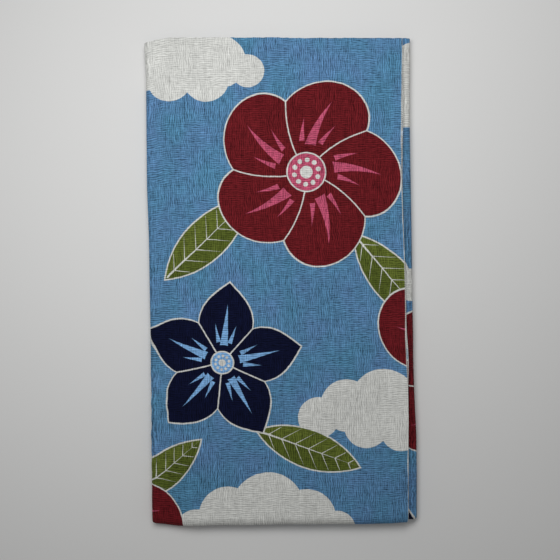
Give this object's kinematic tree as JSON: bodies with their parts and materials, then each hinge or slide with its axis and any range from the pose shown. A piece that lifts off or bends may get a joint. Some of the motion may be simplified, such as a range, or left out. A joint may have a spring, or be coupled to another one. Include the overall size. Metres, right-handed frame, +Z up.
{
  "type": "folded tenugui towel",
  "caption": "Thin printed cotton hand towel with raw cut ends and selvedges, folded into a flat oblong with its print outward.",
  "frame": {"origin": "on the surface that the towel lies on, under the middle of the folded towel's box", "axes": "+X to the right of the front panel, where its free edge is, +Y to the panel's top, where the cut ends are, +Z up"},
  "size_m": [0.1248, 0.2267, 0.0079],
  "materials": {
    "cotton": "matt plain-weave cotton with visible slubs, sky-blue ground with dark red, navy, green, pink and white flowers, leaves and clouds"
  },
  "bodies": {
    "root": {"cloth": "cotton"}
  },
  "joints": []
}
